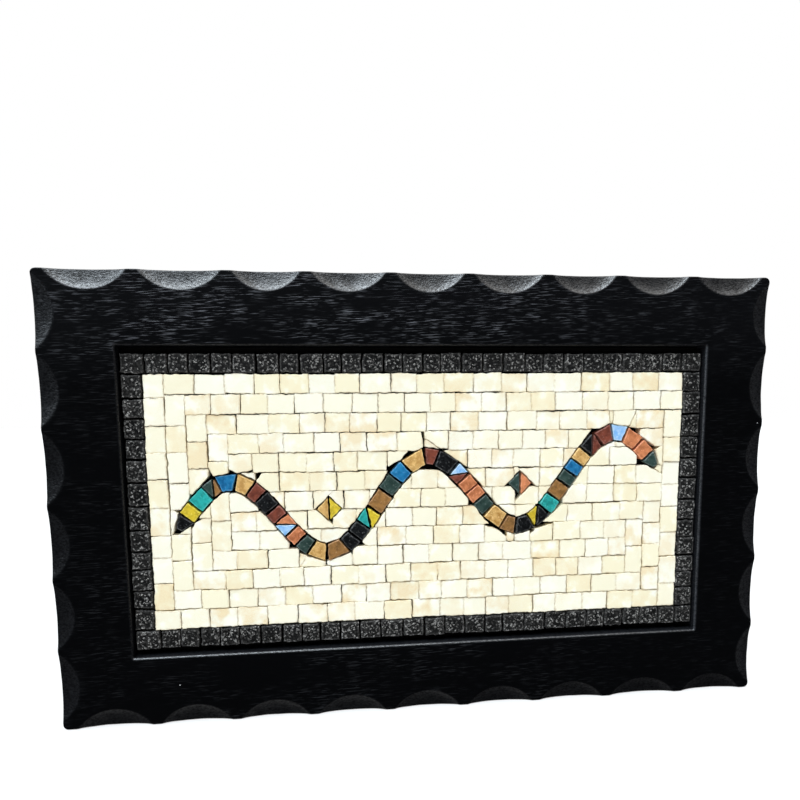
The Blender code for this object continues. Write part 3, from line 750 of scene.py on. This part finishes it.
print("depth in which stone tops are looked for, in mm:", 1000 * STONE_BAND)

# %% [markdown]
# ## The cream field, the dark border and the coloured pieces
# Marble splits with crisp, slightly wavy sides. The granular stone of the border breaks more coarsely, with
# wider joints. The coloured pieces are cut smaller than their cells. Their arrises show as fine pale lines,
# which their material paints partly as wear and partly as a painted highlight.

# %% Cut every stone
field = cut_stones("cream_field", "cream_stones", 3, Step=0.0008, Turn=0.028, Shift=0.00022, Swell=0.00036,
                   Wander=0.0014, Height_Spread=0.0006, Arris=0.00026, Chipping=0.0004, Top_Unevenness=0.0007)
print("cream stones:", len(field.data.polygons), "faces")

for side, seed in (("top", 11), ("bottom", 12), ("left", 13), ("right", 14)):
    course = cut_stones(f"border_{side}", f"border_{side}_stones", seed, Step=0.0007, Turn=0.03, Shift=0.0002,
                        Swell=-0.00045, Wander=0.0016, Height_Spread=0.0008, Arris=0.0004, Chipping=0.0006,
                        Top_Unevenness=0.0010)
    print(course.name, len(course.data.polygons), "faces")

coloured_nodes = sorted(name for name in nodes if slot_of[name] in COLOURED)
for seed, node_name in enumerate(coloured_nodes, start=20):
    cut_stones(node_name, node_name + "_cut", seed, Step=0.0006, Turn=0.06, Shift=0.00018, Swell=-0.0007,
               Wander=0.0011, Height_Spread=0.0006, Arris=0.00024, Chipping=0.0002, Top_Unevenness=0.0008)
print("coloured pieces:", len(coloured_nodes))

# %% [markdown]
# ## The board
# The board is one carved plank, so it is one mesh. Going inwards from its outline there are closed rings of
# points: the side, the rounded arris, the scalloped zone, the flat face, the recess's eased arris and its
# wall. Every ring has the same number of points, so neighbouring rings join with plain quads. The gouge takes
# off an ellipsoid's depth wherever it passes, and a soft maximum leaves the rim of each scoop slightly
# rounded.

# %% Scallop rows
# Each row: relative widths, flat between scallops, flats at the row's two ends, reach onto the face, depth.
# The level rows run from left to right, the upright ones from the top down.
SCALLOP_ROWS = {
    "top": ((40, 41, 35, 39, 37, 38, 36, 37, 38), 0.0045, (0.0052, 0.0042), 0.0090, 0.0027),
    "bottom": ((38, 37, 37, 37, 37, 37, 37, 39, 36), 0.0040, (0.0066, 0.0052), 0.0090, 0.0027),
    "left": ((36, 35, 36, 35, 34, 36), 0.0016, (0.0012, 0.0040), 0.0090, 0.0019),
    "right": ((33, 36, 34, 35, 35, 33), 0.0028, (0.0030, 0.0032), 0.0082, 0.0019),
}
CENTRE_OUT = 0.010
CENTRE_AHEAD = 0.0012
RIM_SOFTNESS = 0.00012
RING_SPACING = 0.00045
LONGEST_REACH = max(row[3] for row in SCALLOP_ROWS.values())


def scallop_places(side):
    """Middle, chord, reach and depth of each scallop along one side."""
    shares, peak, end_flats, reach, depth = SCALLOP_ROWS[side]
    length, direction = (BOARD_WIDTH, 1) if side in ("top", "bottom") else (BOARD_HEIGHT, -1)
    room = length - sum(end_flats) - peak * (len(shares) - 1)
    edge, places = end_flats[0] - length / 2, []
    for share in shares:
        chord = room * share / sum(shares)
        places.append((direction * (edge + chord / 2), chord, reach, depth))
        edge += chord + peak
    return places


SCALLOPS = {side: scallop_places(side) for side in SCALLOP_ROWS}
print("scallops:", {side: len(places) for side, places in SCALLOPS.items()})

# %% [markdown]
# ### One scoop's depth
# A gouge leaves a piece of an ellipsoid. Its middle lies `CENTRE_OUT` beyond the board's edge and
# `CENTRE_AHEAD` in front of the face, so the scoop is cut off by the edge and meets the face at a slant. The
# three half-axes follow from the chord along the edge, the reach onto the face and the depth at the edge. A
# plain maximum of the depth and zero would leave a knife-sharp rim. The soft one rounds it over
# `RIM_SOFTNESS`.

# %% How deep the gouge went at a point of the face
def scoop_depth(along, outward, chord, reach, deepest):
    """Depth of one scoop below the face, from distances along the side and outwards from its edge."""
    shrink = (CENTRE_OUT / (reach + CENTRE_OUT)) ** 2
    deep = (deepest + CENTRE_AHEAD) ** 2 - shrink * CENTRE_AHEAD ** 2
    depth_axis = math.sqrt(deep / (1 - shrink))
    at_face = math.sqrt(1 - (CENTRE_AHEAD / depth_axis) ** 2)
    reach_axis = (reach + CENTRE_OUT) / at_face
    chord_axis = chord / 2 / (at_face * math.sqrt(1 - shrink))
    inside = 1 - (along / chord_axis) ** 2 - ((outward - CENTRE_OUT) / reach_axis) ** 2
    depth = depth_axis * np.sqrt(np.maximum(inside, 0.0)) - CENTRE_AHEAD
    rest = (math.hypot(CENTRE_AHEAD, RIM_SOFTNESS) - CENTRE_AHEAD) / 2
    return (depth + np.sqrt(depth ** 2 + RIM_SOFTNESS ** 2)) / 2 - rest


def carved_depth(x, z):
    """Depth of all the scallops together at points of the face."""
    total = np.zeros_like(x)
    for side, places in SCALLOPS.items():
        along = x if side in ("top", "bottom") else z
        outward = {"top": z - BOARD_HEIGHT / 2, "bottom": -z - BOARD_HEIGHT / 2,
                   "left": -x - BOARD_WIDTH / 2, "right": x - BOARD_WIDTH / 2}[side]
        for middle, *scoop in places:
            total = np.maximum(total, scoop_depth(along - middle, outward, *scoop))
    return total


edge_depth = carved_depth(np.array([SCALLOPS["top"][0][0]]), np.array([BOARD_HEIGHT / 2]))
print("depth of the first scoop at the top edge, in mm:", round(1000 * float(edge_depth[0]), 2))

# %% Rings of points
LONG_STEPS, SHORT_STEPS, CORNER_STEPS, ARRIS_STEPS = 560, 340, 6, 6
CORNER_RADIUS = 0.0025
RECESS_CORNER = 0.0004
ARRIS_RADIUS = 0.0005
RECESS_ARRIS = 0.0012
BACK_ARRIS = 0.0006
SMALLEST_RADIUS = 0.00005
ARRIS_INSETS = (0.0, 0.00008, 0.0002, 0.00035)
FLAT_FACE_INSETS = (0.0115, 0.014)
WAVES_PER_METRE, WAVE_DEPTH, WAVY_FROM_DEPTH = 170, 0.00022, 0.001


def ring(half_x, half_z, radius, middle_x=0.0):
    """Points of a rounded rectangle, anticlockwise seen from the front, always as many."""
    radius = max(radius, SMALLEST_RADIUS)
    corners = ((1, -1, -math.pi / 2), (1, 1, 0.0), (-1, 1, math.pi / 2), (-1, -1, math.pi))
    steps = (SHORT_STEPS, LONG_STEPS, SHORT_STEPS, LONG_STEPS)
    points = []
    for index, ((sx, sz, start), count) in enumerate(zip(corners, steps)):
        centre = np.array((sx * (half_x - radius), sz * (half_z - radius)))
        angles = start + np.linspace(0, math.pi / 2, CORNER_STEPS)
        arc = centre + radius * np.stack((np.cos(angles), np.sin(angles)), axis=1)
        next_sx, next_sz, next_start = corners[(index + 1) % 4]
        next_centre = np.array((next_sx * (half_x - radius), next_sz * (half_z - radius)))
        goal = next_centre + radius * np.array((math.cos(next_start), math.sin(next_start)))
        shares = np.linspace(0, 1, count + 1)[1:-1, None]
        points += [arc, arc[-1] + shares * (goal - arc[-1])]
    points = np.concatenate(points)
    points[:, 0] += middle_x
    return points


def hand_waviness(points, depth):
    """The gouge doesn't run dead smooth: a small change of depth inside the scoops."""
    waves = [noise.noise(Vector((WAVES_PER_METRE * x, WAVES_PER_METRE * z, 3.0))) for x, z in points]
    return WAVE_DEPTH * np.array(waves) * np.minimum(1.0, depth / WAVY_FROM_DEPTH)


def board_rings():
    """All the rings, from the middle of the back, round the side and over the face, to the recess's floor."""
    half_x, half_z = BOARD_WIDTH / 2, BOARD_HEIGHT / 2
    rings = []

    def add(inset, y):
        rings.append(np.insert(ring(half_x - inset, half_z - inset, CORNER_RADIUS - inset), 1, y, axis=1))

    add(BACK_ARRIS, 0.0)
    add(BACK_ARRIS / 4, -BACK_ARRIS / 4)
    add(0.0, -BACK_ARRIS)
    scalloped = np.arange(ARRIS_RADIUS, LONGEST_REACH + 2 * RING_SPACING, RING_SPACING)
    for inset in (*ARRIS_INSETS, *scalloped, *FLAT_FACE_INSETS):
        outline = ring(half_x - inset, half_z - inset, CORNER_RADIUS - inset)
        depth = carved_depth(outline[:, 0], outline[:, 1])
        depth = depth + hand_waviness(outline, depth)
        short = max(0.0, ARRIS_RADIUS - inset)
        rounding = ARRIS_RADIUS - math.sqrt(ARRIS_RADIUS ** 2 - short ** 2)
        rings.append(np.insert(outline, 1, FACE_Y + depth + rounding, axis=1))
    for turn in np.linspace(0.0, math.pi / 2, ARRIS_STEPS):
        grow, drop = RECESS_ARRIS * (1 - math.sin(turn)), RECESS_ARRIS * (1 - math.cos(turn))
        outline = ring(RECESS_HALF_WIDTH + grow, RECESS_HALF_HEIGHT + grow, RECESS_CORNER + grow,
                       RECESS_SHIFT)
        rings.append(np.insert(outline, 1, FACE_Y + drop, axis=1))
    outline = ring(RECESS_HALF_WIDTH, RECESS_HALF_HEIGHT, RECESS_CORNER, RECESS_SHIFT)
    rings.append(np.insert(outline, 1, RECESS_FLOOR_Y, axis=1))
    return rings


board_outlines = board_rings()
print("rings:", len(board_outlines), "with", len(board_outlines[0]), "points each")


# %% Join the rings into the board
def build_board(rings):
    """Join neighbouring rings with quads, and close the back and the recess's floor with one face each."""
    count = len(rings[0])
    mesh = bpy.data.meshes.new("board_carved")
    quads = []
    for near in range(0, (len(rings) - 1) * count, count):
        far = near + count
        for this in range(count):
            after = (this + 1) % count
            quads.append((near + this, near + after, far + after, far + this))
    back = tuple(range(count))
    floor = tuple((len(rings) - 1) * count + i for i in range(count))
    mesh.from_pydata(np.concatenate(rings).tolist(), [], quads + [back, floor])
    shell = bmesh.new()
    shell.from_mesh(mesh)
    bmesh.ops.recalc_face_normals(shell, faces=shell.faces)
    shell.to_mesh(mesh)
    shell.free()
    return new_object("board_carved", mesh)


board = build_board(board_outlines)
print("board:", len(board.data.polygons), "faces before the keyhole")

# %% [markdown]
# ## The keyhole slot
# The back has one routed slot for a screw head: a round entry, a narrow neck above it and a wider undercut
# behind the neck. Five simple shapes, which a router bit would sweep, are taken away by Boolean modifiers.

# %% Cut the keyhole
ENTRY_RADIUS, NECK_HALF = 0.005, 0.0025
SLOT_DEPTH, LIP = 0.009, 0.003
SLOT_FROM_TOP, SLOT_TRAVEL = 0.0155, 0.011
SLOT_TOP_Z = BOARD_HEIGHT / 2 - SLOT_FROM_TOP
SLOT_ENTRY_Z = SLOT_TOP_Z - SLOT_TRAVEL
PAST_BACK, HOLE_SEGMENTS = 0.002, 48
BOARD_SHARP_ANGLE = math.radians(38)


def router_hole(name, radius, z, near_y, far_y):
    bm = bmesh.new()
    turn = Matrix.Translation((0.0, (near_y + far_y) / 2, z)) @ Matrix.Rotation(math.pi / 2, 4, "X")
    bmesh.ops.create_cone(bm, cap_ends=True, segments=HOLE_SEGMENTS, radius1=radius, radius2=radius,
                          depth=near_y - far_y, matrix=turn)
    return new_object(name, finished_mesh(bm, name))


def router_slot(name, half_width, near_y, far_y):
    bm = bmesh.new()
    size = Matrix.Diagonal((2 * half_width, near_y - far_y, SLOT_TOP_Z - SLOT_ENTRY_Z, 1.0))
    place = Matrix.Translation((0.0, (near_y + far_y) / 2, (SLOT_TOP_Z + SLOT_ENTRY_Z) / 2))
    bmesh.ops.create_cube(bm, size=1.0, matrix=place @ size)
    return new_object(name, finished_mesh(bm, name))


tools = [
    router_hole("entry", ENTRY_RADIUS, SLOT_ENTRY_Z, PAST_BACK, -SLOT_DEPTH),
    router_hole("neck end", NECK_HALF, SLOT_TOP_Z, PAST_BACK, -SLOT_DEPTH),
    router_slot("neck", NECK_HALF, PAST_BACK, -SLOT_DEPTH),
    router_hole("undercut end", ENTRY_RADIUS, SLOT_TOP_Z, -LIP, -SLOT_DEPTH),
    router_slot("undercut", ENTRY_RADIUS, -LIP, -SLOT_DEPTH),
]
for tool in tools:
    cut = board.modifiers.new(tool.name, "BOOLEAN")
    cut.operation, cut.solver, cut.object = "DIFFERENCE", "EXACT", tool
plain_copy(board)
for tool in tools:
    bpy.data.objects.remove(tool)
board.data.shade_smooth()
board.data.set_sharp_from_angle(angle=BOARD_SHARP_ANGLE)
print("board:", len(board.data.polygons), "faces with the keyhole")

# %% [markdown]
# ## Where the wood is worn, and where shade and a highlight are painted
# Use and making leave their marks, and painted shade and a painted highlight lie, in places that the mesh
# knows: the scoops lie below the face near the rim, the recess's arris has its own depth, and the keyhole its
# own box. So each point gets its three numbers from where it lies, and the wood's material reads them. The
# gouged film is turned down towards the deep edge of each scoop and on the left and the lower rim, as painted
# shade, and the recess's right and lower arrises get a painted highlight.

# %% Store the wear on the board's points
WEAR_EDGE, DEEPEST_SCOOP = 0.0003, 0.004
# The fade towards each scoop's deep edge and the share on the left and lower rim are painted shade.
FADE_FROM, FADE_TO, FADE_SHARE = 0.0008, 0.0024, 0.5
PAINTED_SHADE_SHARE, WALL_SHARE, FOOT_SHARE, BACK_SHARE = 0.6, 0.5, 0.6, 0.12
BACK_FROM_Y, BACK_FULL_Y = -0.001, -0.0002
SLOT_SLACK = 0.0005


def ramp(value, low, high):
    """Rise from 0 at low to 1 at high."""
    return np.clip((value - low) / (high - low), 0.0, 1.0)


def add_wear(mesh):
    """Store how burnished each point is, turned down by painted shade, how much painted highlight lies on the
    recess's arris, and how bare it is.
    """
    points = np.empty(3 * len(mesh.vertices))
    mesh.vertices.foreach_get("co", points)
    x, y, z = points.reshape(-1, 3).T
    below = y - FACE_Y
    rim_from = -LONGEST_REACH - RING_SPACING
    on_rim = np.maximum(abs(x) - BOARD_WIDTH / 2, abs(z) - BOARD_HEIGHT / 2) > rim_from
    low_or_left = np.maximum(-x - BOARD_WIDTH / 2, -z - BOARD_HEIGHT / 2) > rim_from
    # Painted shade: the gouged film is turned down on the left and the lower rim, and towards each scoop's
    # deep edge.
    painted_shade = np.where(low_or_left & (z < BOARD_HEIGHT / 2 - LONGEST_REACH), PAINTED_SHADE_SHARE, 1.0)
    fading = 1.0 - FADE_SHARE * ramp(below, FADE_FROM, FADE_TO)
    scoop = ramp(below, 0.0, WEAR_EDGE) * fading * painted_shade * on_rim * (below < DEEPEST_SCOOP)

    drop = below / RECESS_ARRIS
    wall = np.where(drop < 0.99, ramp(drop, 0.0, 0.25), WALL_SHARE) * ~on_rim * (y < RECESS_FLOOR_Y + 0.0001)
    # A painted highlight on the recess's right arris, and a weaker one on its lower arris.
    at_right = ramp(x - RECESS_SHIFT - RECESS_HALF_WIDTH, -WEAR_EDGE, 0.0)
    at_foot = ramp(-z - RECESS_HALF_HEIGHT, -WEAR_EDGE, 0.0)
    on_arris = np.clip(3 * np.minimum(drop, 1.1 - drop), 0.0, 1.0) * ~on_rim
    painted_arris_highlight = on_arris * np.maximum(at_right, FOOT_SHARE * at_foot)

    around = ENTRY_RADIUS + SLOT_SLACK
    in_slot = (y < -SLOT_SLACK) & (y > -SLOT_DEPTH - SLOT_SLACK) & (abs(x) < around)
    in_slot &= (z > SLOT_ENTRY_Z - around) & (z < SLOT_TOP_Z + around)
    bare = np.maximum(BACK_SHARE * ramp(y, BACK_FROM_Y, BACK_FULL_Y), in_slot)
    for name, amount in (("burnish_and_painted_shade", np.maximum(scoop, wall)), ("painted_arris_highlight", painted_arris_highlight), ("bare", bare)):
        mesh.attributes.new(name, "FLOAT", "POINT").data.foreach_set("value", amount.astype(np.float32))
        print(name, "points:", int((amount > 0.2).sum()))


add_wear(board.data)
board.data.materials.clear()
board.data.materials.append(materials["stained_wood"])
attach(board, "root")
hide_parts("board")
print("board's material:", board.data.materials[0].name)

# %% [markdown]
# ## The adhesive bed
# The bed is flat and shows only as black joints between the stones, so its solid is fine enough as it is. It
# only gets its material.

# %% Adhesive bed keeps its solid
bed = nodes["adhesive_bed"]
bed.material_slots[0].material = materials["adhesive"]
print("adhesive bed:", bed.material_slots[0].material.name)

# %% [markdown]
# ## Stage and light
# A pale floor at the board's lower edge and a white surround, as in the photograph. Three suns light it,
# because a sun lights the floor evenly as far as it reaches. The widest is an overcast sky overhead. The two
# narrower ones are windows in front and at the left, and they pick out the inner rims of the scoops. The
# floor glows a little, as a lit studio table does, which keeps the board's shadow faint. It is kept out of
# reflections, or the black wood would mirror it. What the wood sees below instead is a dim glow from the
# lower left. A fill from behind lights only the back.

# %% Floor
FLOOR_REACH, FLOOR_GAP = 6.0, 0.0002
FLOOR_GREY, FLOOR_GLOW = (0.32, 0.32, 0.32, 1.0), 0.6
floor_mesh = bpy.data.meshes.new("floor")
corners = ((-1, -1), (1, -1), (1, 1), (-1, 1))
floor_mesh.from_pydata([(FLOOR_REACH * x, FLOOR_REACH * y, FLOOR_Z - FLOOR_GAP) for x, y in corners], [],
                       [(0, 1, 2, 3)])
floor = new_object("floor", floor_mesh)
floor_tree, floor_shader = start_material("floor")
wire(floor_tree, floor_shader, Base_Color=FLOOR_GREY, Roughness=0.9, Specular_IOR_Level=0.1,
     Emission_Color=(1.0, 1.0, 1.0, 1.0), Emission_Strength=FLOOR_GLOW)
floor_mesh.materials.append(materials["floor"])
floor.visible_glossy = False
print("floor is below the board by mm:", round(1000 * FLOOR_GAP, 2))


# %% Lamps
def add_sun(name, towards, energy, spread, colour):
    """A sun whose disc spans an angle in degrees and stands in a direction seen from the sign."""
    lamp_data = bpy.data.lights.new(name, "SUN")
    lamp_data.energy = energy
    lamp_data.angle = math.radians(spread)
    lamp_data.color = colour
    lamp = new_object(name, lamp_data)
    lamp.matrix_world = aim(-Vector(towards), Vector((0.0, 1.0, 0.0)))
    print("sun:", name, "strength", energy)


WARM_WHITE, DAYLIGHT = (1.0, 0.985, 0.96), (0.80, 0.91, 1.0)
add_sun("overcast sky", (0.15, -0.20, 0.97), 2.1, 76.0, WARM_WHITE)
add_sun("window", (-0.25, -0.46, 0.85), 2.8, 34.0, DAYLIGHT)
add_sun("window at the left", (-0.75, -0.15, 0.64), 1.2, 28.0, DAYLIGHT)

# %% Surround: white for the camera, a dim glow for everything else
WHITE = (1.0, 1.0, 1.0, 1.0)
DIM_GLOW, LOWER_LEFT_GLOW, FILL_FROM_BEHIND = 0.05, 0.45, 1.5
world = bpy.data.worlds.new("surround")
world.use_nodes = True
sky = world.node_tree
sky.nodes.clear()
rays = add_node(sky, "ShaderNodeLightPath").outputs
seen = add_node(sky, "ShaderNodeTexCoord").outputs["Generated"]
towards = add_node(sky, "ShaderNodeSeparateXYZ", {0: seen}).outputs
below = step_between(sky, product(sky, towards[2], -1.0), 0.80, 0.98)
leftward = step_between(sky, product(sky, towards[0], -1.0), -0.45, 0.35)
glow = rescale(sky, product(sky, below, leftward), 0.0, 1.0, DIM_GLOW, LOWER_LEFT_GLOW)
fill = product(sky, step_between(sky, towards[1], 0.2, 0.9), rays["Is Diffuse Ray"], FILL_FROM_BEHIND)
strength = math_node(sky, "ADD", glow, fill)
ambient = output(sky, "ShaderNodeBackground", {"Color": WHITE, "Strength": strength})
backdrop = output(sky, "ShaderNodeBackground", {"Color": WHITE, "Strength": 1.0})
mixed = output(sky, "ShaderNodeMixShader", {0: rays["Is Camera Ray"], 1: ambient, 2: backdrop})
add_node(sky, "ShaderNodeOutputWorld", {"Surface": mixed})
bpy.context.scene.world = world
bpy.context.scene.view_settings.view_transform = "Standard"
print("surround:", len(sky.nodes), "nodes")
